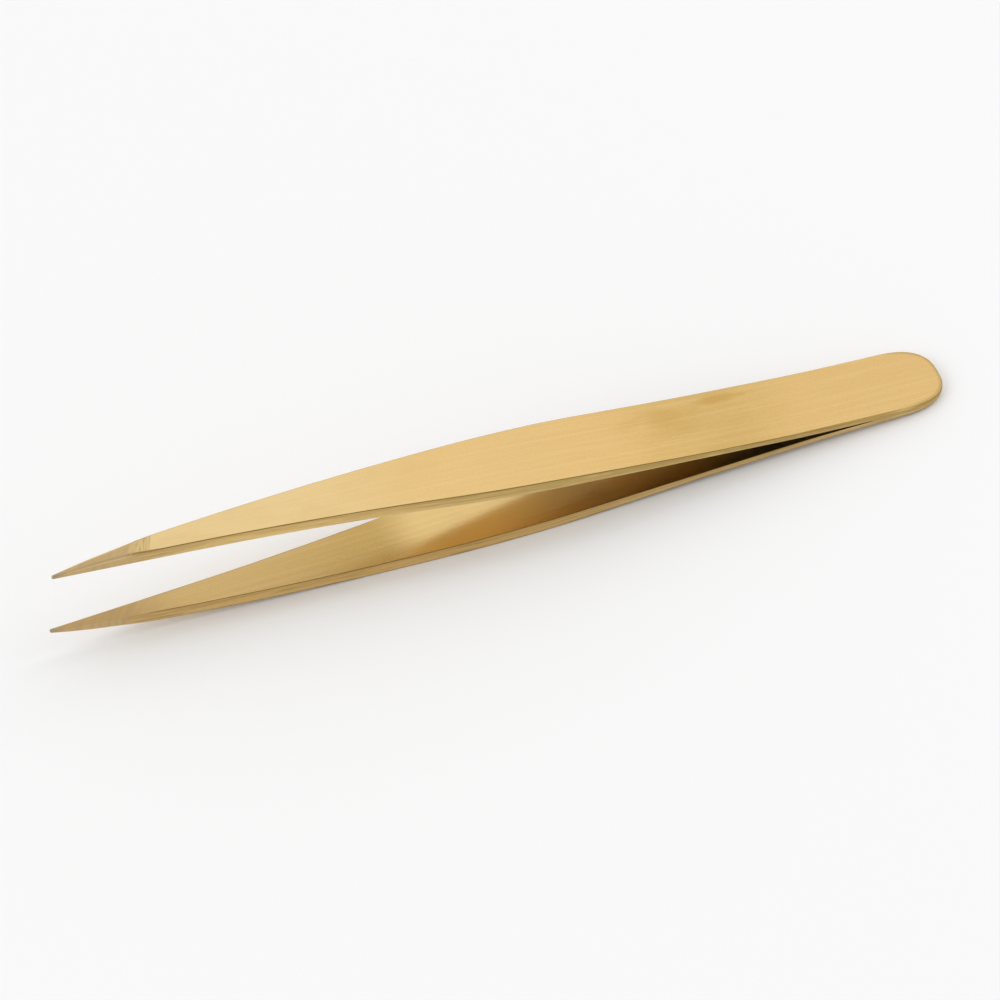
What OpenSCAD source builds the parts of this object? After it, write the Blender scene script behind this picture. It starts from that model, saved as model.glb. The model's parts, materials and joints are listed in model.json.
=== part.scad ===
// Stamp tongs: two solid brass arms with fine points, brazed together at the heel.
//
// The tongs lie open on the lower arm. X runs from the points to the heel, Y goes
// across the arms and Z is up. The origin is under the middle of the tongs, on the
// surface that they lie on. Each arm is drawn first in a frame of its own: x from
// the point, z from the middle plane between the arms, outer face up.

/* [Overall] */
// Length from the points to the end of the heel
overall_length = 120.4; // [116:0.2:124]
// Width of the grip and the heel
arm_width = 9.4; // [8.6:0.1:10.4]

/* [Outline from above] */
// Width of a point at its very end
point_width = 0.4; // [0.3:0.02:0.6]
// Length of the slender nose behind a point
nose_length = 9; // [8:0.5:10]
// Width at the back of the nose
nose_width = 1.78; // [1.7:0.02:2.1]
// Distance from the points to the shoulders, where the taper ends
shoulder_from_point = 61; // [58:1:64]
// Length of the heel's rounded end
heel_round_length = 7; // [5:0.1:9]
// How much further the heel's end reaches at the arms' near edge than along the middle
heel_skew = 0.2; // [0:0.05:0.3]

/* [Side view] */
// Gap between the points when the tongs lie open
point_gap = 10.9; // [10:0.1:11.6]
// Distance from the points to the middle of the long front bend
front_bend_from_point = 33.5; // [32:0.5:36]
// Angle between the straight stretch of an arm and the middle plane
spread_angle = 4.66; // [4.4:0.02:4.9]
// Distance from the end of the heel to the middle of the rear bend
rear_bend_from_heel = 15.7; // [14.5:0.1:16.3]

/* [Thickness of one arm] */
// Thickness of a point at its very end
point_thickness = 0.3; // [0.25:0.01:0.5]
// Distance from the points to the middle of the bend where the grip's thickness is reached
full_thickness_from_point = 6.5; // [6:0.5:8]
// Thickness of the grip
grip_thickness = 1.85; // [1.8:0.05:2.1]
// Thickness at the front of the spring stretch
spring_thickness = 1.05; // [1:0.05:1.4]
// Thickness where the arms come together
root_thickness = 0.95; // [0.85:0.05:1]

/* [Heel joint] */
// Thickness of the brazed film between the arms
braze_thickness = 0.06; // [0.04:0.01:0.1]
// Reach of the brazed film from the end of the heel
braze_length = 11.2; // [8:0.2:12]

/* [Bending] */
// Distance from the end of the heel to the line about which an arm bends
pivot_from_heel = 28.4; // [26:0.2:31]
// Clearance round the knuckle on that line
knuckle_clearance = 0.04; // [0.02:0.01:0.06]
// How far each arm is pressed in, in degrees
squeeze = 0; // [0:0.02:3.38]

/* [Hidden] */
$fn = 96;

brass = "#c9a24b";
spring_brass = "#bd9747";
braze_silver = "#cfc6b2";

// Where the bends of the outline and of the thickness are, from the points
thinning_at = 66;
spring_at = 86;
root_at = 109;

// How far each bend reaches to either side of its middle
nose_reach = 6;
grinding_reach = 5.5;
shoulder_reach = 10;
front_reach = 17;
rear_reach = 9;
thinning_reach = 5;
root_reach = 4;

// Side length of the facets along a curve, and a size larger than any section
facet = 3;
beyond = 20;

rear_bend_at = overall_length - rear_bend_from_heel;
spread = tan(spread_angle);
// The heel's end is a superellipse, a little fuller than an ellipse and a little askew
heel_power = 2.6;
heel_round_from = overall_length - heel_round_length;
heel_facets = 32;

// The belly's flat runs between the front bend and the start of the thinning. The heel is as
// thick as lets its lower edge meet the surface that the belly's flat lies on.
flat_from = front_bend_from_point + front_reach;
flat_to = thinning_at - thinning_reach;
heel_thickness = grip_thickness - spread * rear_bend_from_heel;

// Corners, as [distance from the points, value], and the reach of the bend at each inner one
half_width_corners = [
    [0, point_width / 2],
    [nose_length, nose_width / 2],
    [shoulder_from_point, arm_width / 2],
    [overall_length, arm_width / 2]
];
half_width_reaches = [nose_reach, shoulder_reach];

inner_corners = [
    [0, point_gap / 2],
    [front_bend_from_point, spread * (rear_bend_at - front_bend_from_point) + braze_thickness / 2],
    [rear_bend_at, braze_thickness / 2],
    [overall_length, braze_thickness / 2]
];
inner_reaches = [front_reach, rear_reach];

thickness_corners = [
    [0, point_thickness],
    [full_thickness_from_point, grip_thickness],
    [thinning_at, grip_thickness],
    [spring_at, spring_thickness],
    [root_at, root_thickness],
    [overall_length, heel_thickness]
];
thickness_reaches = [grinding_reach, thinning_reach, thinning_reach, root_reach];

// A line through corners, with each inner corner rounded by a parabola
function slope(corners, i) =
    (corners[i + 1][1] - corners[i][1]) / (corners[i + 1][0] - corners[i][0]);
function rounding(x, corners, reach, i) =
    let (left = reach - abs(x - corners[i][0]))
    left <= 0 ? 0 : (slope(corners, i) - slope(corners, i - 1)) * left * left / (4 * reach);
function sum(values, i = 0) = i < len(values) ? values[i] + sum(values, i + 1) : 0;
function bent(x, corners, reaches) =
    lookup(x, corners)
    + sum([for (i = [1 : len(corners) - 2]) rounding(x, corners, reaches[i - 1], i)]);

function half_width(x) = bent(x, half_width_corners, half_width_reaches);
function inner(x) = bent(x, inner_corners, inner_reaches);
function outer(x) = inner(x) + bent(x, thickness_corners, thickness_reaches);

// Stations from one distance to another, about a facet apart
function steps(from, to) =
    let (count = ceil((to - from) / facet))
    [for (i = [0 : count]) from + (to - from) * i / count];
function reversed(list) = [for (i = [len(list) - 1 : -1 : 0]) list[i]];

side_stations = concat(steps(0, flat_from), steps(flat_to, overall_length + facet));
outline_stations = concat(
    [0],
    steps(nose_length - nose_reach, nose_length + nose_reach),
    steps(shoulder_from_point - shoulder_reach, shoulder_from_point + shoulder_reach)
);
heel_end = [
    for (i = [0 : heel_facets])
        let (turn = 90 - 180 * i / heel_facets)
        [
            heel_round_from + heel_round_length * pow(cos(turn), 2 / heel_power)
                - sign(turn) * heel_skew * pow(abs(sin(turn)), 2 / heel_power),
            sign(turn) * arm_width / 2 * pow(abs(sin(turn)), 2 / heel_power)
        ]
];
braze_from = overall_length - braze_length;
braze_stations = concat([braze_from], [for (x = side_stations) if (x > braze_from) x]);

// The line about which each arm bends: middle of the thickness, in the straight stretch
pivot_at = overall_length - pivot_from_heel;
pivot_height = (inner(pivot_at) + outer(pivot_at)) / 2;
knuckle_radius = (outer(pivot_at) - inner(pivot_at)) / 2 * cos(spread_angle);

// The ground nose: a cone a little wider and higher than the nose, so that a narrow flat stays
// along the outer face and the sides stay upright next to the inner face
cone_margin = 0.25;
cone_lift = 0.03;
cone_slope = slope(half_width_corners, 0);
cone_start = -1;
cone_end = 20;
function cone_radius(x) = point_width / 2 + cone_slope * x + cone_margin;
cone_axis_start = outer(0) - cone_radius(0) + cone_lift;
cone_axis_end = inner(full_thickness_from_point) + grip_thickness
    - cone_radius(full_thickness_from_point) + cone_lift;
cone_angle = atan((cone_axis_end - cone_axis_start) / full_thickness_from_point);

// Place of the open tongs on the surface: the belly's flat is level, at Z = 0
leftmost = -outer(0) * sin(spread_angle);
rightmost = overall_length * cos(spread_angle) + outer(overall_length) * sin(spread_angle);
middle_x = (leftmost + rightmost) / 2;
belly_height = flat_to * sin(spread_angle) + outer(flat_to) * cos(spread_angle);

module at_rest() {
    translate([-middle_x, 0, belly_height])
        rotate([0, spread_angle, 0])
            children();
}

module lower() {
    mirror([0, 0, 1])
        children();
}

// Stands a drawing of the side view upright and gives it the width of the arms
module across() {
    rotate([90, 0, 0])
        linear_extrude(arm_width + 2, center = true)
            children();
}

module side_view() {
    polygon(concat(
        [for (x = side_stations) [x, inner(x)]],
        [for (x = reversed(side_stations)) [x, outer(x)]]
    ));
}

module outline() {
    polygon(concat(
        [for (x = outline_stations) [x, half_width(x)]],
        heel_end,
        [for (x = reversed(outline_stations)) [x, -half_width(x)]]
    ));
}

// What the grinding leaves: a cone above its own axis, all of the arm below that, and the
// whole section behind the nose
module ground_nose() {
    translate([0, 0, cone_axis_start])
        rotate([0, 90 - cone_angle, 0])
            translate([0, 0, cone_start])
                cylinder(cone_end - cone_start, cone_radius(cone_start), cone_radius(cone_end));
    translate([0, 0, cone_axis_start])
        rotate([0, -cone_angle, 0])
            translate([-beyond / 2, -beyond / 2, -beyond])
                cube([cone_end + beyond / 2, beyond, beyond]);
    translate([cone_end - nose_length / 2, -beyond / 2, -beyond / 2])
        cube([overall_length, beyond, beyond]);
}

module arm() {
    intersection() {
        across()
            side_view();
        translate([0, 0, -beyond / 2])
            linear_extrude(beyond)
                outline();
        ground_nose();
    }
}

// Everything ahead of the bending line, with a round end on that line
module ahead_of_pivot(end_radius) {
    translate([pivot_at, 0, pivot_height]) {
        rotate([90, 0, 0])
            cylinder(arm_width + 2, r = end_radius, center = true);
        rotate([0, spread_angle, 0])
            translate([-overall_length, -beyond / 2, -beyond])
                cube([overall_length, beyond, 2 * beyond]);
    }
}

// The part of an arm that the fingers move, turned in by the squeeze
module moving_arm() {
    translate([pivot_at, 0, pivot_height])
        rotate([0, -squeeze, 0])
            translate([-pivot_at, 0, -pivot_height])
                intersection() {
                    arm();
                    ahead_of_pivot(knuckle_radius);
                }
}

// The part of an arm that stays with the heel
module fixed_root() {
    difference() {
        arm();
        ahead_of_pivot(knuckle_radius + knuckle_clearance);
    }
}

module upper_arm() {
    color(brass)
        at_rest()
            moving_arm();
}

module lower_arm() {
    color(brass)
        at_rest()
            lower()
                moving_arm();
}

module upper_root() {
    color(spring_brass)
        at_rest()
            fixed_root();
}

module lower_root() {
    color(spring_brass)
        at_rest()
            lower()
                fixed_root();
}

// The film of braze that fills the last of the wedge between the arms
module heel_braze() {
    color(braze_silver)
        at_rest()
            intersection() {
                across()
                    polygon(concat(
                        [for (x = braze_stations) [x, -inner(x)]],
                        [for (x = reversed(braze_stations)) [x, inner(x)]]
                    ));
                translate([0, 0, -beyond / 2])
                    linear_extrude(beyond)
                        outline();
            }
}

upper_arm();
lower_arm();
upper_root();
lower_root();
heel_braze();
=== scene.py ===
"""Stamp tongs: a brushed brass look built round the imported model."""

import json
import math
from types import SimpleNamespace

import bmesh
import bpy
import numpy as np
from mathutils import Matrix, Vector
from mathutils.bvhtree import BVHTree

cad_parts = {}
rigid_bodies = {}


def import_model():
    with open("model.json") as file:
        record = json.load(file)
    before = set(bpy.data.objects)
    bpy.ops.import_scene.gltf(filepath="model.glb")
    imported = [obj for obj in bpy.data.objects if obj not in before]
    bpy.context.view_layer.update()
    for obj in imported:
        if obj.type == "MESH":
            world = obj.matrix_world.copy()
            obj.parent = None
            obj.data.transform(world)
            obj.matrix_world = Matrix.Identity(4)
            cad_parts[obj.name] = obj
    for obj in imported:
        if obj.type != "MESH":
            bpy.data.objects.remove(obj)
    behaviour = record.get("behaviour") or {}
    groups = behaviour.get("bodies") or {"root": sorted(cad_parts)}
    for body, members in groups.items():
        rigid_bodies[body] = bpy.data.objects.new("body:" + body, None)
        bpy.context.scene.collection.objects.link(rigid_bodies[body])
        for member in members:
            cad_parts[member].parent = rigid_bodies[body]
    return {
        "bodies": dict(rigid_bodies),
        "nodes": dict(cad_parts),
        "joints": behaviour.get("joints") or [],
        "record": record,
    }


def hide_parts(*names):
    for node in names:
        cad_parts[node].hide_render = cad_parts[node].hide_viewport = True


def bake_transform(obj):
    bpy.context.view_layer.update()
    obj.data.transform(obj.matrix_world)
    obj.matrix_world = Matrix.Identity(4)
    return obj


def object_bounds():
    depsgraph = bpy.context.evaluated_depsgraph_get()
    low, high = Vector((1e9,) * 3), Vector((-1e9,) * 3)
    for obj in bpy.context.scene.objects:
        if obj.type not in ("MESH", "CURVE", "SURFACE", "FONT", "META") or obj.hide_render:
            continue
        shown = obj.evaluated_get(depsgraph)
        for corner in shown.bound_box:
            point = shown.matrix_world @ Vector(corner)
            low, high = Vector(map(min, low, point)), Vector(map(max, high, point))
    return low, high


MM = 0.001

# Each arm: its body, its two CAD nodes, its joint, and the side of the middle plane that it is on
ARMS = {
    "upper": {
        "body": "upper_arm",
        "nodes": ("upper_arm", "upper_root"),
        "joint": "upper_arm_flex",
        "side": 1,
    },
    "lower": {
        "body": "lower_arm",
        "nodes": ("lower_arm", "lower_root"),
        "joint": "lower_arm_flex",
        "side": -1,
    },
}

# The camera looks from the front left and above. Angles are in degrees, the lens and its sensor in
# millimetres, and the distance and the aim off the tongs' centre in metres.
VIEW_AZIMUTH = -21.09
VIEW_ELEVATION = 54.19
VIEW_DISTANCE = 0.79762
LENS = 228.1
SENSOR_WIDTH = 36
CLIP_START = 0.01
AIM_RIGHT = -0.00022
AIM_UP = -0.00339

# Floor and lights, in metres and watts
FLOOR_REACH = 3.0
FLOOR_DROP = 0.02 * MM
FLOOR_GREY = 0.93
FLOOR_ROUGH = 0.9
FLOOR_SHINE = 0.2
SOFT_BOX_PLACE = (1.1, 0.1, 0.9)
SOFT_BOX_SIZE = 0.9
SOFT_BOX_POWER = 3.6

# The studio's dark side: its direction, the cosines of the angles from it at which it starts and is
# full, and how strong the light still is there
DARK_SIDE = (-0.21, -0.62, 0.76)
DARK_SPREAD = (0.66, 0.97)
DARK_STRENGTH = 0.3

# The heel's rounded end: sizes as in the CAD, and the number of steps round it
HEEL_ROUND_LENGTH = 7.0
HEEL_SKEW = 0.2
HEEL_POWER = 2.6
HEEL_STEPS = 56

# The outline's other stations, in millimetres: a number of them in front, each a little further from
# the last, then evenly spaced ones, and steps round the point
FRONT_REACH = 10.0
FRONT_STATIONS = 28
STATION = 0.7
POINT_STEPS = 12

# An arm's long edges, in millimetres. The outer edge is a small rounding in front, grows into a steep
# bevel towards the heel, and is round on the nose.
INNER_EDGE = 0.05
OUTER_EDGE = 0.07
BEVEL_WIDE = 0.16
BEVEL_HIGH = 0.34
NOSE_EDGE_MOST = 0.5
ROUND_POWER = 2.0
BEVEL_POWER = 1.25

# The most that the edges take up where an arm is thin or narrow, as shares of its thickness or of the
# depth from its outline to its middle
NOSE_WIDE_OF_DEPTH = 0.65
NOSE_HIGH_OF_DEPTH = 0.6
OUTER_WIDE_OF_DEPTH = 0.7
OUTER_HIGH_OF_THICKNESS = 0.6
INNER_OF_THICKNESS = 0.1
INNER_OF_DEPTH = 0.2

# The strip that the mesh keeps flat beside each edge, in millimetres on the side, with the same limits,
# and the share of it on the faces
FLAT_STRIP = 0.12
STRIP_OF_THICKNESS = 0.12
STRIP_OF_DEPTH = 0.1
STRIP_ON_FACE = 0.4

# A section's rows across a face, as shares of the way from its edge to the centre line, up the side,
# and round each edge
FACE_SHARES = (1.0, 0.85, 0.7, 0.55, 0.4, 0.26, 0.14, 0.05)
SIDE_SHARES = (0.0, 0.33, 0.67, 1.0)
INNER_EDGE_ROWS = 4
OUTER_EDGE_ROWS = 9

# The turn round a section says which part of it a row is on
INNER_FACE_TURN = 0.0
INNER_EDGE_TURN = (0.1, 0.4)
SIDE_TURN = 0.5
OUTER_EDGE_TURN = (0.6, 0.9)
OUTER_FACE_TURN = 1.0

# Vertices closer than this are one, in metres
MERGE_WITHIN = 1e-7

# Places along an arm's shape, in millimetres from the point
NOSE_ROUND_FULL = 7.0
NOSE_ROUND_END = 14.5
BEVEL_FROM = 88.0
BEVEL_FULL = 110.0

# How much of an upright side's height counts as width in the brushing's direction
UPRIGHT_SHARE = 0.7

# Shifts that give each arm, face and side its own part of the noise, in millimetres, and how far the
# streaks on the sides drift towards the inner face for each one along
ARM_SHIFT = 7.0
FACE_SHIFT = 3.0
SIDE_SHIFT = 5.0
RISE_ALONG = 0.01

# How far the limit of the ground nose leans, in millimetres along for each one across
GROUND_LEAN = 0.39


def ease(t):
    t = min(max(t, 0.0), 1.0)
    return t * t * (3 - 2 * t)


def blend(a, b, t):
    return a + (b - a) * t


def link(name, data):
    """Puts a new object with this data into the scene."""
    obj = bpy.data.objects.new(name, data)
    bpy.context.scene.collection.objects.link(obj)
    return obj


# ---------------------------------------------------------------- the arms as the CAD has them

def mid_plane(frame):
    """The plane midway between the arms: a point between the hinge lines, its normal, and its direction
    to the heel."""
    place = {joint["name"]: Vector(joint["pos_m"]) for joint in frame["joints"]}
    upper, lower = place[ARMS["upper"]["joint"]], place[ARMS["lower"]["joint"]]
    normal = (upper - lower).normalized()
    along = Vector((0, 1, 0)).cross(normal).normalized()
    return (upper + lower) / 2, normal, along


def ray_tree(frame, names):
    """One ray-casting tree of several CAD nodes."""
    points, faces = [], []
    for name in names:
        mesh = frame["nodes"][name].data
        start = len(points)
        points += [v.co.copy() for v in mesh.vertices]
        faces += [[start + i for i in p.vertices] for p in mesh.polygons]
    return BVHTree.FromPolygons(points, faces)


def smoothed(values, passes):
    """Evens out the small facets of a sampled curve and keeps its ends."""
    for _ in range(passes):
        values[1:-1] = 0.25 * values[:-2] + 0.5 * values[1:-1] + 0.25 * values[2:]
    return values


class ArmShape:
    """One arm, measured on its CAD nodes. Lengths are in millimetres: along from the point, across from
    the centre line, and height from the middle plane."""

    FIRST = 0.02
    STEP = 0.5
    CLEAR_OF_KNUCKLE = 1.6
    SMOOTHING = 6
    CAST_FROM = 50 * MM
    NEAR_INNER = 0.1

    def __init__(self, frame, arm):
        self.side = arm["side"]
        base, self.normal, self.along = mid_plane(frame)
        nodes = arm["nodes"]
        reach = [(v.co - base).dot(self.along) for n in nodes for v in frame["nodes"][n].data.vertices]
        self.length = (max(reach) - min(reach)) / MM
        self.start = base + self.along * min(reach)
        self.pivot = -min(reach) / MM
        self.heel_from = self.length - HEEL_ROUND_LENGTH
        self.measure(ray_tree(frame, nodes))

    def measure(self, tree):
        """Casts rays at the CAD solids every half millimetre, except across the knuckle's clearance."""
        out = self.normal * self.side
        sideways = Vector((0, 1, 0))
        found = []
        for x in np.arange(self.FIRST, self.length, self.STEP):
            if abs(x - self.pivot) < self.CLEAR_OF_KNUCKLE:
                continue
            on_plane = self.start + self.along * (x * MM)
            inner = tree.ray_cast(on_plane - out * MM, out)[0]
            outer = tree.ray_cast(on_plane + out * self.CAST_FROM, -out)[0]
            near_inner = inner.lerp(outer, self.NEAR_INNER)
            edge = tree.ray_cast(near_inner + sideways * self.CAST_FROM, -sideways)[0]
            found.append((x, (inner - on_plane).dot(out), (outer - on_plane).dot(out), edge.y))
        x, inner, outer, half = np.array(found).T
        self.grid = np.arange(0.0, self.length + self.STEP, self.STEP)
        self.inner_at = smoothed(np.interp(self.grid, x, inner / MM), self.SMOOTHING)
        self.outer_at = smoothed(np.interp(self.grid, x, outer / MM), self.SMOOTHING)
        body = x < self.heel_from
        self.half_at = smoothed(np.interp(self.grid, x[body], half[body] / MM), self.SMOOTHING)

    def inner(self, x):
        return float(np.interp(x, self.grid, self.inner_at))

    def outer(self, x):
        return float(np.interp(x, self.grid, self.outer_at))

    def half(self, x):
        return float(np.interp(x, self.grid, self.half_at))

    def place(self, x, y, z):
        """A place on the arm in the row frame, in metres."""
        return self.start + (self.along * x + Vector((0, y, 0)) + self.normal * (self.side * z)) * MM


# ---------------------------------------------------------------- the arms' meshes

def heel_end(shape):
    """The outline's stretch round the heel: a superellipse, a little askew."""
    half = shape.half(shape.heel_from)
    points = []
    for turn in np.linspace(math.pi / 2, -math.pi / 2, HEEL_STEPS + 1)[1:-1]:
        c, s = math.cos(turn) ** (2 / HEEL_POWER), abs(math.sin(turn)) ** (2 / HEEL_POWER)
        middle = shape.heel_from + (HEEL_ROUND_LENGTH - half) * math.cos(turn)
        y = math.copysign(half * s, turn)
        x = shape.heel_from + HEEL_ROUND_LENGTH * c - HEEL_SKEW * y / half
        points.append((x, y, middle))
    return points


def outline(shape):
    """The outline from above, once round, each point with the place on the centre line that it faces."""
    tip = shape.half(0)
    front = list(np.geomspace(tip, FRONT_REACH, FRONT_STATIONS))
    rest = list(np.arange(FRONT_REACH, shape.heel_from, STATION))[1:] + [shape.heel_from]
    side = [(x, shape.half(x), x) for x in front + rest]
    back = [(x, -y, middle) for x, y, middle in reversed(side)]
    turns = np.linspace(0, math.pi, POINT_STEPS + 1)[1:-1]
    point = [(tip - tip * math.sin(a), -tip * math.cos(a), tip) for a in turns]
    return side + heel_end(shape) + back + point


def outward(points, i):
    """The outline's outward direction at point i, from its neighbours."""
    before, after = points[i - 1], points[(i + 1) % len(points)]
    direction = Vector((after[1] - before[1], before[0] - after[0]))
    return -direction.normalized()


def edge_sizes(shape, x, depth):
    """How wide, how high and how round the outer edge is, and the size of the inner edge's rounding. Where
    the arm is thin or narrow, each is at most a share of its thickness or of its depth to the middle."""
    thick = shape.outer(x) - shape.inner(x)
    bevel = ease((x - BEVEL_FROM) / (BEVEL_FULL - BEVEL_FROM))
    nose = 1 - ease((x - NOSE_ROUND_FULL) / (NOSE_ROUND_END - NOSE_ROUND_FULL))
    nose_wide = min(NOSE_WIDE_OF_DEPTH * depth, NOSE_EDGE_MOST)
    nose_high = min(NOSE_HIGH_OF_DEPTH * depth, NOSE_EDGE_MOST)
    wide = blend(blend(OUTER_EDGE, BEVEL_WIDE, bevel), nose_wide, nose)
    high = blend(blend(OUTER_EDGE, BEVEL_HIGH, bevel), nose_high, nose)
    wide = min(wide, OUTER_WIDE_OF_DEPTH * depth)
    high = min(high, OUTER_HIGH_OF_THICKNESS * thick)
    inner = min(INNER_EDGE, INNER_OF_THICKNESS * thick, INNER_OF_DEPTH * depth)
    return wide, high, blend(ROUND_POWER, BEVEL_POWER, bevel), inner


def section(shape, x, depth):
    """The section from the inner face's centre line round the edge to the outer face's. Each row is the
    inset from the outline in millimetres, the share of the way from there to the centre line, the height
    as a share of the thickness, and the turn."""
    thick = shape.outer(x) - shape.inner(x)
    wide, high, power, low = edge_sizes(shape, x, depth)
    strip = min(FLAT_STRIP, STRIP_OF_THICKNESS * thick, STRIP_OF_DEPTH * depth)
    near = STRIP_ON_FACE * strip
    rows = [(low + near, t, 0.0, INNER_FACE_TURN) for t in FACE_SHARES + (0.0,)]
    for a in np.linspace(0, 1, INNER_EDGE_ROWS):
        bow = a * math.pi / 2
        inset, rise = low * (1 - math.sin(bow)), low * (1 - math.cos(bow))
        rows.append((inset, 0.0, rise / thick, blend(*INNER_EDGE_TURN, a)))
    for t in SIDE_SHARES:
        rows.append((0.0, 0.0, blend(low + strip, thick - high - strip, t) / thick, SIDE_TURN))
    for a in np.linspace(0, 1, OUTER_EDGE_ROWS):
        c, s = math.cos(a * math.pi / 2), math.sin(a * math.pi / 2)
        inset, drop = wide * (1 - c ** (2 / power)), high * (1 - s ** (2 / power))
        rows.append((inset, 0.0, 1 - drop / thick, blend(*OUTER_EDGE_TURN, a)))
    rows += [(wide + near, t, 1.0, OUTER_FACE_TURN) for t in (0.0,) + FACE_SHARES[::-1]]
    return rows


def arm_rings(bm, shape):
    """The vertices of one arm, a section at each point of the outline, with what the material needs to
    know: where on the arm each one is, how near an edge, and which arm it is."""
    place = bm.verts.layers.float_vector.new("arm_place")
    edge = bm.verts.layers.float_vector.new("arm_edge")
    arm_side = bm.verts.layers.float.new("arm_side")
    points = outline(shape)
    rings = []
    for i, (x, y, middle) in enumerate(points):
        out = outward(points, i)
        depth = math.hypot(x - middle, y)
        ring = []
        for inset, share, height, turn in section(shape, x, depth):
            px = blend(x - out.x * inset, middle, share)
            py = blend(y - out.y * inset, 0.0, share)
            low, high = shape.inner(px), shape.outer(px)
            vert = bm.verts.new(shape.place(px, py, blend(low, high, height)))
            vert[place] = (px, py, height * (high - low))
            vert[edge] = (blend(inset, depth, share), turn, shape.side * (height - 0.5))
            vert[arm_side] = shape.side
            ring.append(vert)
        rings.append(ring)
    return rings


def build_arm(name, shape, material):
    """One unbroken arm: flat faces, upright sides, rounded edges, a ground point and a full round heel."""
    bm = bmesh.new()
    rings = arm_rings(bm, shape)
    for i, ring in enumerate(rings):
        after = rings[(i + 1) % len(rings)]
        for j in range(len(ring) - 1):
            bm.faces.new((ring[j], ring[j + 1], after[j + 1], after[j]))
    bmesh.ops.remove_doubles(bm, verts=bm.verts, dist=MERGE_WITHIN)
    bmesh.ops.recalc_face_normals(bm, faces=bm.faces)
    for face in bm.faces:
        face.smooth = True
    mesh = bpy.data.meshes.new(name)
    bm.to_mesh(mesh)
    bm.free()
    mesh.materials.append(material)
    add_brushing_map(mesh)
    return link(name, mesh)


def add_brushing_map(mesh):
    """A UV map whose U runs along the arm, which gives the shader the direction of the brushing."""
    uv = mesh.uv_layers.new(name="brushing")
    for loop in mesh.loops:
        x, y, z = mesh.vertices[loop.vertex_index].co
        uv.data[loop.index].uv = (x, y + UPRIGHT_SHARE * z)


# ---------------------------------------------------------------- material nodes

class Nodes:
    """A short way to write a material's or a world's nodes."""

    def __init__(self, owner):
        owner.use_nodes = True
        self.tree = owner.node_tree
        self.tree.nodes.clear()

    def new(self, kind, inputs=None, **settings):
        node = self.tree.nodes.new("ShaderNode" + kind)
        for key, value in settings.items():
            setattr(node, key, value)
        for key, value in (inputs or {}).items():
            self.put(node.inputs[key], value)
        return node

    def put(self, socket, value):
        if isinstance(value, bpy.types.NodeSocket):
            self.tree.links.new(value, socket)
        else:
            socket.default_value = value

    def math(self, operation, a, b=0.0):
        node = self.new("Math", operation=operation)
        self.put(node.inputs[0], a)
        self.put(node.inputs[1], b)
        return node.outputs[0]

    def plus(self, a, b):
        return self.math("ADD", a, b)

    def minus(self, a, b):
        return self.math("SUBTRACT", a, b)

    def times(self, a, b):
        return self.math("MULTIPLY", a, b)

    def ramp(self, value, start, end, low=0.0, high=1.0):
        """Goes smoothly from low to high while value goes from start to end."""
        inputs = {"Value": value, "From Min": start, "From Max": end, "To Min": low, "To Max": high}
        return self.new("MapRange", inputs, interpolation_type="SMOOTHSTEP").outputs["Result"]

    def between(self, value, start, full, fade, end):
        """1 from full to fade, and 0 outside start to end."""
        return self.times(self.ramp(value, start, full), self.ramp(value, fade, end, 1.0, 0.0))

    def mix(self, factor, a, b):
        """From colour a to colour b."""
        node = self.new("Mix", data_type="RGBA")
        for place, value in zip((0, 6, 7), (factor, a, b)):
            self.put(node.inputs[place], value)
        return node.outputs[2]

    def blend(self, factor, a, b):
        """From value a to value b."""
        node = self.new("Mix", data_type="FLOAT")
        for place, value in zip((0, 2, 3), (factor, a, b)):
            self.put(node.inputs[place], value)
        return node.outputs[0]

    def split(self, attribute):
        vector = self.new("Attribute", attribute_name=attribute).outputs["Vector"]
        return self.new("SeparateXYZ", {"Vector": vector}).outputs

    def join(self, x, y, z):
        return self.new("CombineXYZ", {"X": x, "Y": y, "Z": z}).outputs[0]

    def noise(self, place, grains, detail=2.0, rough=0.5):
        """Noise with so many grains for each unit of the place: along, across and up."""
        node = self.new("Mapping", {"Vector": place, "Scale": grains}, vector_type="POINT")
        inputs = {"Vector": node.outputs[0], "Scale": 1.0, "Detail": detail, "Roughness": rough}
        return self.new("TexNoise", inputs).outputs["Fac"]

    def relief(self, height, depth):
        """A normal that follows a height, which goes from 0 to 1 over a depth in metres."""
        bump = self.new("Bump", {"Strength": 1.0, "Distance": depth, "Height": height})
        return bump.outputs["Normal"]

    def finish(self, inputs):
        """The material's shader and output."""
        shader = self.new("BsdfPrincipled", inputs)
        self.new("OutputMaterial", {"Surface": shader.outputs["BSDF"]})


def rgb(red, green, blue):
    """A colour given as 0 to 255 on screen, in Blender's linear values."""
    def linear(v):
        v = v / 255
        return v / 12.92 if v <= 0.04045 else ((v + 0.055) / 1.055) ** 2.4
    return linear(red), linear(green), linear(blue), 1.0


# ---------------------------------------------------------------- materials

# Tones of the outer face from the point to the heel, and of its brushing
OUTER_FRONT = rgb(232, 203, 146)
OUTER_GRIP = rgb(227, 192, 130)
OUTER_HEEL = rgb(218, 182, 120)
OUTER_SPRING = rgb(205, 170, 106)
MOTTLED = rgb(212, 180, 118)
BRUSHED_PALE = rgb(246, 218, 166)
BRUSHED_DARK = rgb(190, 156, 98)
STAINED = rgb(190, 152, 78)

# Tones of the inner face from the point to the heel
INNER_FRONT = rgb(204, 172, 113)
INNER_DEEP = rgb(196, 163, 98)
INNER_POLISHED = rgb(228, 195, 132)
INNER_OF_UPPER = rgb(208, 180, 126)
INNER_GREYED = rgb(190, 168, 130)
INNER_SPRING = rgb(192, 177, 140)
INNER_WEDGE = rgb(240, 228, 198)

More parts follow.
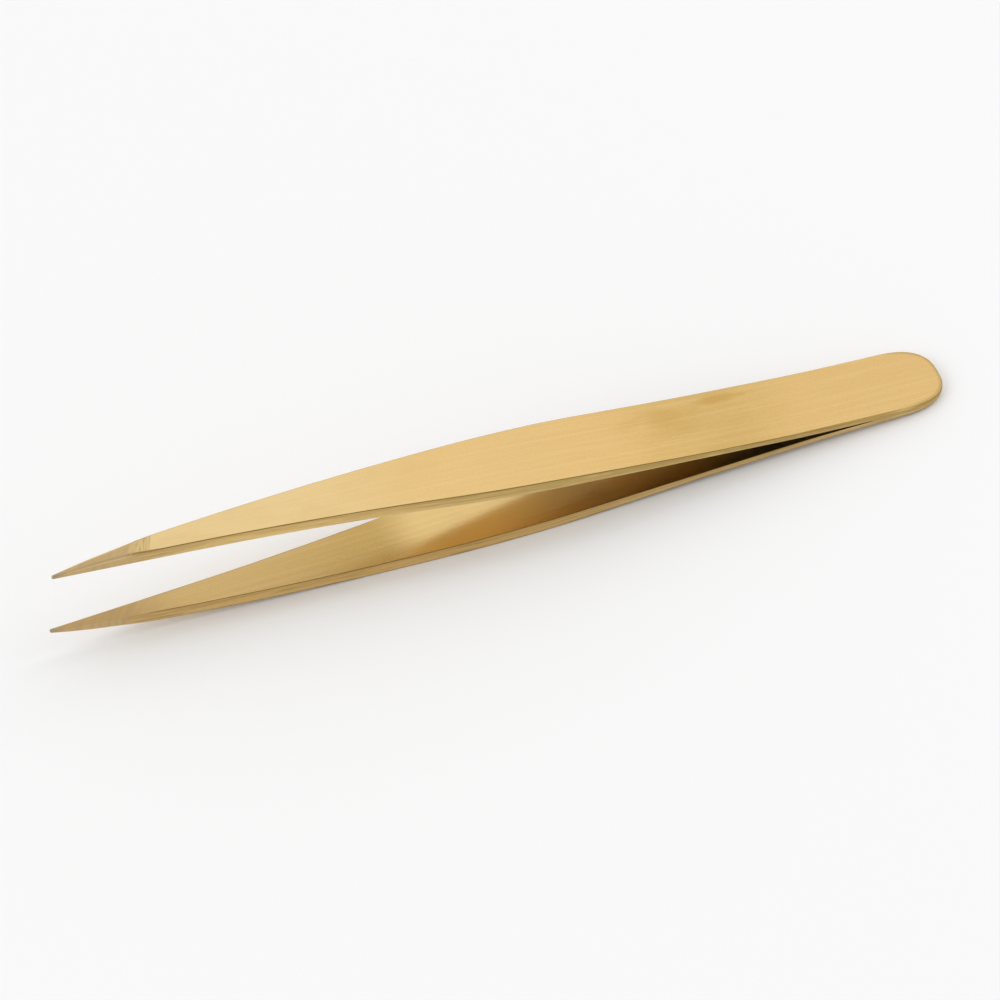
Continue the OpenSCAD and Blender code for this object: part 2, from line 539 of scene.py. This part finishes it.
# Tones of the sides from the point to the heel, with the lower arm's painted lighter, of their grinding
# streaks, and of their painted shade and painted highlight
UPPER_SIDE_FRONT = rgb(221, 188, 122)
UPPER_SIDE_GRIP = rgb(199, 170, 103)
UPPER_SIDE_HEEL = rgb(191, 160, 96)
# The lower arm's sides are painted lighter than the upper's: painted light against the floor's shade beside
# them
LOWER_SIDE_FRONT_PAINTED_LIGHT = rgb(226, 190, 122)
LOWER_SIDE_HEEL_PAINTED_LIGHT = rgb(214, 182, 122)
SIDE_NOSE = rgb(200, 168, 112)
# Both the sides' dark grinding streaks and the painted shade near each side's upper edge
SIDE_STREAK_AND_SHADE = rgb(160, 128, 70)
# Painted highlight near each side's lower edge
SIDE_PAINTED_HIGHLIGHT = rgb(240, 212, 150)
STREAK_PALE = rgb(236, 208, 150)

# Tones of the ground nose with the painted highlight along its edge, of its limit, of the painted shade on
# the heel's rim and of the painted shade lines along the edges
GROUND_DARK = rgb(196, 167, 121)
GROUND_PALE = rgb(210, 181, 131)
GROUND_INNER = rgb(172, 140, 86)
# Painted highlight along the ground nose's outer edge
GROUND_EDGE_HIGHLIGHT = rgb(224, 196, 146)
POINT_GREY = rgb(160, 150, 122)
HALF_GROUND = rgb(208, 180, 124)
SCRATCHED = rgb(168, 140, 92)
# Painted shade on the heel's rim
HEEL_RIM_SHADE = rgb(156, 132, 76)
# Painted shade: the thin dark lines along the edges
EDGE_SHADE_LINE = rgb(104, 76, 32)

# The outer face's stains: place along and across, reach each way, both in millimetres, and strength
STAINS = (
    ((91.0, 3.3), (5.5, 0.9), 0.6),
    ((82.5, 1.6), (6.0, 2.6), 0.35),
)

# Where most of a noise's values lie
NOISE_RANGE = (0.3, 0.7)

# Roughness, least and most
BRUSHED_ROUGH = (0.24, 0.28)
MOTTLED_ROUGH = (0.0, 0.04)
POLISHED_ROUGH = (0.12, 0.17)
SIDE_ROUGH = 0.40
GROUND_ROUGH = (0.44, 0.54)

# Relief: how much the comb marks and the scratches count, and the depth of it all in metres
COMB_RELIEF = 2.5
SCRATCH_RELIEF = -0.8
BRASS_DEPTH = 1.0e-6
ANISOTROPY = 0.5
ANISOTROPY_TURN = 0.25

# The braze
BRAZE_DARK = rgb(176, 152, 102)
BRAZE_PALE = rgb(208, 186, 138)
BRAZE_CLOUD = rgb(150, 122, 72)
BRAZE_ROUGH = (0.38, 0.52)
BRAZE_DEPTH = 4e-6


def arm_places(n):
    """What the arms' attributes say about a spot, for the colours below."""
    at = SimpleNamespace()
    at.along, at.across, at.height = n.split("arm_place")
    at.inset, at.turn, at.level = n.split("arm_edge")
    at.side = n.new("Attribute", attribute_name="arm_side").outputs["Fac"]
    at.outer = n.ramp(at.turn, 0.86, 0.98)
    at.inner = n.ramp(at.turn, 0.04, 0.2, 1.0, 0.0)
    at.face = n.plus(at.outer, at.inner)
    at.of_upper = n.ramp(at.side, -0.5, 0.5)
    add_noise(n, at)
    add_nose(n, at)
    return at


def add_noise(n, at):
    """The noises: fine and broad brushing, mottling and comb marks on the faces, streaks on the sides,
    diagonal grinding on the nose, and steep scratches at its limit."""
    layer = n.plus(n.times(at.side, ARM_SHIFT), n.times(at.outer, FACE_SHIFT))
    rise = n.plus(n.plus(at.height, layer), n.times(at.along, RISE_ALONG))
    near_or_far = n.times(n.math("SIGN", at.across), SIDE_SHIFT)
    at.slant = n.minus(at.along, n.times(at.across, GROUND_LEAN))
    on_face = n.join(at.along, at.across, layer)
    on_side = n.join(at.along, near_or_far, rise)
    diagonal = n.join(n.minus(at.along, at.across), at.across, layer)
    steep = n.join(at.slant, at.across, layer)
    at.fine = n.noise(on_face, (0.12, 9.0, 1.0), detail=3.0, rough=0.6)
    at.broad = n.noise(on_face, (0.05, 2.2, 1.0))
    at.mottle = n.noise(on_face, (0.16, 0.3, 1.0), detail=4.0, rough=0.55)
    at.comb = n.noise(on_face, (2.2, 0.2, 1.0), rough=0.6)
    at.streak = n.noise(on_side, (0.12, 1.0, 3.2), detail=3.0, rough=0.6)
    at.grind = n.noise(diagonal, (0.9, 0.22, 1.0), detail=3.0, rough=0.65)
    at.scratch = n.noise(steep, (6.5, 0.5, 1.0), rough=0.6)


def add_nose(n, at):
    """How far a spot belongs to the ground nose, and to the scratched strip at its limit."""
    uneven = n.plus(at.slant, n.ramp(at.grind, *NOISE_RANGE, -0.5, 0.5))
    soft_limit = n.ramp(uneven, 8.0, 19.0, 1.0, 0.0)
    at.nose = n.blend(at.inner, n.ramp(uneven, 9.4, 11.4, 1.0, 0.0), soft_limit)
    at.half_ground = n.between(at.slant, 9.6, 10.4, 12.6, 12.9)
    at.marks = n.times(at.half_ground, n.ramp(at.scratch, 0.5, 0.62))


def tones(n, at, first, changes):
    """A tone that changes along the arm. Each change is from and to where, in millimetres from the point,
    and the tone that it ends in."""
    colour = first
    for start, end, tone in changes:
        colour = n.mix(n.ramp(at.along, start, end), colour, tone)
    return colour


def stain(n, at, spot, size, amount):
    """How strongly a soft stain of this size colours the outer face, round a place given in millimetres."""
    away = [n.math("DIVIDE", n.minus(value, middle), reach)
            for value, middle, reach in zip((at.along, at.across), spot, size)]
    far = n.math("SQRT", n.plus(*[n.times(a, a) for a in away]))
    ragged = n.plus(far, n.ramp(at.mottle, *NOISE_RANGE, -0.3, 0.3))
    return n.times(n.ramp(ragged, 0.2, 1.0, amount, 0.0), at.outer)


def outer_tone(n, at):
    """The outer face: pale gold in front, deeper towards the heel and duller along the spring stretch."""
    bright = tones(n, at, OUTER_FRONT, ((30.0, 52.0, OUTER_GRIP), (52.0, 76.0, OUTER_HEEL)))
    return n.mix(n.between(at.along, 72.0, 86.0, 90.0, 104.0), bright, OUTER_SPRING)


def inner_tone(n, at):
    """The inner face, whose polished stretch is a little duller on the upper arm."""
    inner = tones(n, at, INNER_FRONT, ((26.0, 42.0, INNER_DEEP), (43.0, 50.0, INNER_POLISHED)))
    upper_polished = n.times(n.ramp(at.along, 34.0, 46.0), at.of_upper)
    inner = n.mix(upper_polished, inner, INNER_OF_UPPER)
    return tones(n, at, inner, (
        (56.0, 74.0, INNER_GREYED),
        (78.0, 90.0, INNER_SPRING),
        (88.0, 102.0, INNER_WEDGE),
    ))


def face_colour(n, at):
    """Both faces, with their mottling, their brushing and the outer face's stains."""
    colour = n.mix(at.inner, outer_tone(n, at), inner_tone(n, at))
    colour = n.mix(n.ramp(at.mottle, 0.42, 0.7, 0.0, 0.25), colour, MOTTLED)
    colour = n.mix(n.ramp(at.broad, 0.4, 0.75, 0.0, 0.12), colour, BRUSHED_PALE)
    colour = n.mix(n.ramp(at.fine, 0.42, 0.72, 0.0, 0.07), colour, BRUSHED_DARK)
    for spot, size, amount in STAINS:
        colour = n.mix(stain(n, at, spot, size, amount), colour, STAINED)
    return colour


def side_colour(n, at):
    """The sides: olive gold with lengthwise grinding streaks, with painted shade next to the upper edge of
    each arm and a painted highlight next to the lower one."""
    upper = tones(n, at, UPPER_SIDE_FRONT, (
        (30.0, 62.0, UPPER_SIDE_GRIP),
        (62.0, 95.0, UPPER_SIDE_HEEL),
    ))
    # Painted light: the lower arm's sides are lighter, against the floor's shade beside them
    lower = tones(n, at, LOWER_SIDE_FRONT_PAINTED_LIGHT, ((30.0, 95.0, LOWER_SIDE_HEEL_PAINTED_LIGHT),))
    colour = n.mix(at.of_upper, lower, upper)
    colour = n.mix(n.ramp(at.along, 13.0, 26.0, 0.8, 0.0), colour, SIDE_NOSE)
    # Painted shade near each side's upper edge, and a painted highlight near its lower edge
    colour = n.mix(n.ramp(at.level, -0.1, 0.45, 0.0, 0.3), colour, SIDE_STREAK_AND_SHADE)
    colour = n.mix(n.ramp(at.level, -0.5, -0.1, 0.4, 0.0), colour, SIDE_PAINTED_HIGHLIGHT)
    colour = n.mix(n.ramp(at.streak, 0.5, 0.64, 0.0, 0.5), colour, SIDE_STREAK_AND_SHADE)
    return n.mix(n.ramp(at.streak, 0.34, 0.46, 0.5, 0.0), colour, STREAK_PALE)


def point_colour(n, at):
    """The ground points: brownish, with diagonal grinding marks, a painted highlight along the outer edge's
    rounding, and grey at the very end.
    """
    colour = n.mix(n.ramp(at.grind, 0.36, 0.66), GROUND_DARK, GROUND_PALE)
    colour = n.mix(n.times(at.inner, 0.45), colour, GROUND_INNER)
    # Painted highlight along the nose's outer edge rounding
    colour = n.mix(n.between(at.turn, 0.56, 0.66, 0.8, 0.9), colour, GROUND_EDGE_HIGHLIGHT)
    return n.mix(n.ramp(at.along, 0.0, 2.2, 0.7, 0.0), colour, POINT_GREY)


def heel_rim_shade(n, at):
    """Painted shade on the rim round the heel's end, which dims its bright reflection."""
    rim = n.times(n.ramp(at.inset, 0.1, 0.7, 0.6, 0.0), n.ramp(at.along, 113.0, 117.0))
    return n.times(rim, n.ramp(at.turn, 0.55, 0.65))


def painted_edge_shade(n, at):
    """Painted shade: thin dark lines along the edges, below the bevel outside and on the inner edge's
    rounding.
    """
    below = n.between(at.turn, 0.52, 0.58, 0.7, 0.86)
    inside = n.between(at.turn, 0.0, 0.08, 0.3, 0.42)
    uneven = n.ramp(at.streak, 0.3, 0.6, 1.0, 0.7)
    line = n.times(n.plus(below, inside), uneven)
    return n.times(line, n.between(at.along, 10.0, 15.0, 78.0, 112.0))


def brass_colour(n, at):
    """Sides and faces, then the nose's limit and the nose, the painted shade on the heel's rim and the
    painted shade lines on top.
    """
    colour = n.mix(at.face, side_colour(n, at), face_colour(n, at))
    colour = n.mix(n.times(at.half_ground, n.blend(at.outer, 0.0, 0.6)), colour, HALF_GROUND)
    colour = n.mix(n.times(at.marks, n.times(at.outer, 0.6)), colour, SCRATCHED)
    colour = n.mix(n.times(at.nose, n.blend(at.face, 0.9, 1.0)), colour, point_colour(n, at))
    # Painted shade on the heel's rim, dimming its bright reflection
    colour = n.mix(heel_rim_shade(n, at), colour, HEEL_RIM_SHADE)
    # Painted shade: thin dark lines along the edges
    return n.mix(painted_edge_shade(n, at), colour, EDGE_SHADE_LINE)


def brass_roughness(n, at, polished):
    """Smooth faces, the inner one smoothest where it is polished, and duller sides and points."""
    mottled = n.ramp(at.mottle, 0.35, 0.7, *MOTTLED_ROUGH)
    rough = n.plus(n.ramp(at.fine, *NOISE_RANGE, *BRUSHED_ROUGH), mottled)
    rough = n.blend(polished, rough, n.ramp(at.fine, *NOISE_RANGE, *POLISHED_ROUGH))
    rough = n.blend(at.face, SIDE_ROUGH, rough)
    return n.blend(at.nose, rough, n.ramp(at.grind, 0.35, 0.7, *GROUND_ROUGH))


def brass_relief(n, at, polished):
    """Brushing on the faces, comb marks where the inner one is polished, streaks on the sides, grinding
    on the nose and scratches at its limit."""
    relief = n.blend(at.face, at.streak, n.blend(0.6, at.fine, at.broad))
    relief = n.plus(relief, n.times(n.times(at.comb, polished), COMB_RELIEF))
    relief = n.blend(at.nose, relief, at.grind)
    relief = n.plus(relief, n.times(at.marks, SCRATCH_RELIEF))
    return n.relief(relief, BRASS_DEPTH)


def satin_brass():
    """Brass brushed lengthwise: bright faces, olive sides with painted shade lines along their edges and
    painted shade and highlight up their height, coarsely ground points with a painted highlight along their
    edges, painted shade on the heel's rim, a duller spring stretch and a few faint stains."""
    material = bpy.data.materials.new("satin_brass")
    n = Nodes(material)
    at = arm_places(n)
    polished = n.times(at.inner, n.ramp(at.along, 44.0, 50.0))
    tangent = n.new("Tangent", direction_type="UV_MAP", uv_map="brushing")
    n.finish({
        "Base Color": brass_colour(n, at),
        "Metallic": 1.0,
        "Roughness": brass_roughness(n, at, polished),
        "Anisotropic": ANISOTROPY,
        "Anisotropic Rotation": ANISOTROPY_TURN,
        "Normal": brass_relief(n, at, polished),
        "Tangent": tangent.outputs["Tangent"],
    })
    return material


def braze_metal():
    """The pale, slightly pitted metal that fills the joint at the heel. Its noises are in grains per
    metre."""
    material = bpy.data.materials.new("braze_metal")
    n = Nodes(material)
    place = n.new("TexCoord").outputs["Object"]
    grain = n.noise(place, (900, 2600, 4200), detail=4.0, rough=0.6)
    cloud = n.noise(place, (220, 300, 900), detail=3.0)
    colour = n.mix(n.ramp(grain, 0.35, 0.7), BRAZE_DARK, BRAZE_PALE)
    n.finish({
        "Base Color": n.mix(n.ramp(cloud, 0.4, 0.7, 0.0, 0.6), colour, BRAZE_CLOUD),
        "Metallic": 1.0,
        "Roughness": n.ramp(cloud, *NOISE_RANGE, *BRAZE_ROUGH),
        "Normal": n.relief(grain, BRAZE_DEPTH),
    })
    return material


# ---------------------------------------------------------------- stage

def add_floor():
    """A plain pale floor, a hair below the surface that the tongs lie on."""
    mesh = bpy.data.meshes.new("floor")
    corners = ((-1, -1), (1, -1), (1, 1), (-1, 1))
    mesh.from_pydata([(FLOOR_REACH * x, FLOOR_REACH * y, 0) for x, y in corners], [], [(0, 1, 2, 3)])
    floor = link("floor", mesh)
    floor.location.z = -FLOOR_DROP
    material = bpy.data.materials.new("pale_floor")
    Nodes(material).finish({
        "Base Color": (FLOOR_GREY, FLOOR_GREY, FLOOR_GREY, 1),
        "Roughness": FLOOR_ROUGH,
        "Specular IOR Level": FLOOR_SHINE,
    })
    mesh.materials.append(material)


def add_soft_box(name, place):
    """A square soft box, aimed at the tongs."""
    data = bpy.data.lights.new(name, "AREA")
    data.shape = "RECTANGLE"
    data.size = SOFT_BOX_SIZE
    data.size_y = SOFT_BOX_SIZE
    data.energy = SOFT_BOX_POWER
    light = link(name, data)
    light.location = place
    light.rotation_euler = (-Vector(place)).to_track_quat("-Z", "Y").to_euler()


def add_light():
    """A white studio that is darker on the side where the photographer stands, and two soft boxes."""
    world = bpy.data.worlds.new("studio")
    bpy.context.scene.world = world
    n = Nodes(world)
    dark_side = n.new("VectorMath", operation="DOT_PRODUCT")
    n.put(dark_side.inputs[0], n.new("TexCoord").outputs["Generated"])
    n.put(dark_side.inputs[1], Vector(DARK_SIDE).normalized())
    strength = n.ramp(dark_side.outputs["Value"], *DARK_SPREAD, 1.0, DARK_STRENGTH)
    background = n.new("Background", {"Color": (1, 1, 1, 1), "Strength": strength})
    n.new("OutputWorld", {"Surface": background.outputs[0]})
    right, back, up = SOFT_BOX_PLACE
    add_soft_box("left_soft_box", (-right, -back, up))
    add_soft_box("right_soft_box", (right, back, up))


def add_camera(box):
    """The camera at the photograph's angle, aimed a little below the tongs' centre."""
    azimuth, elevation = math.radians(VIEW_AZIMUTH), math.radians(VIEW_ELEVATION)
    right = Vector((math.cos(azimuth), math.sin(azimuth), 0))
    level = Vector((math.sin(azimuth), -math.cos(azimuth), 0))
    back = level * math.cos(elevation) + Vector((0, 0, math.sin(elevation)))
    up = back.cross(right)
    centre = (Vector(box[0]) + Vector(box[1])) / 2
    target = centre + right * AIM_RIGHT + up * AIM_UP
    data = bpy.data.cameras.new("camera")
    data.lens = LENS
    data.sensor_width = SENSOR_WIDTH
    data.clip_start = CLIP_START
    camera = link("camera", data)
    camera.location = target + back * VIEW_DISTANCE
    camera.rotation_euler = (-back).to_track_quat("-Z", "Y").to_euler()
    bpy.context.scene.camera = camera


# ---------------------------------------------------------------- the scene

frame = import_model()
cad_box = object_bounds()

bpy.context.scene.view_settings.view_transform = "Standard"
add_camera(cad_box)
add_light()
add_floor()

brass = satin_brass()
for name, arm in ARMS.items():
    shape = ArmShape(frame, arm)
    piece = build_arm(f"{name}_arm_brass", shape, brass)
    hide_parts(*arm["nodes"])
    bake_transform(piece)

for slot in frame["nodes"]["heel_braze"].material_slots:
    slot.material = braze_metal()
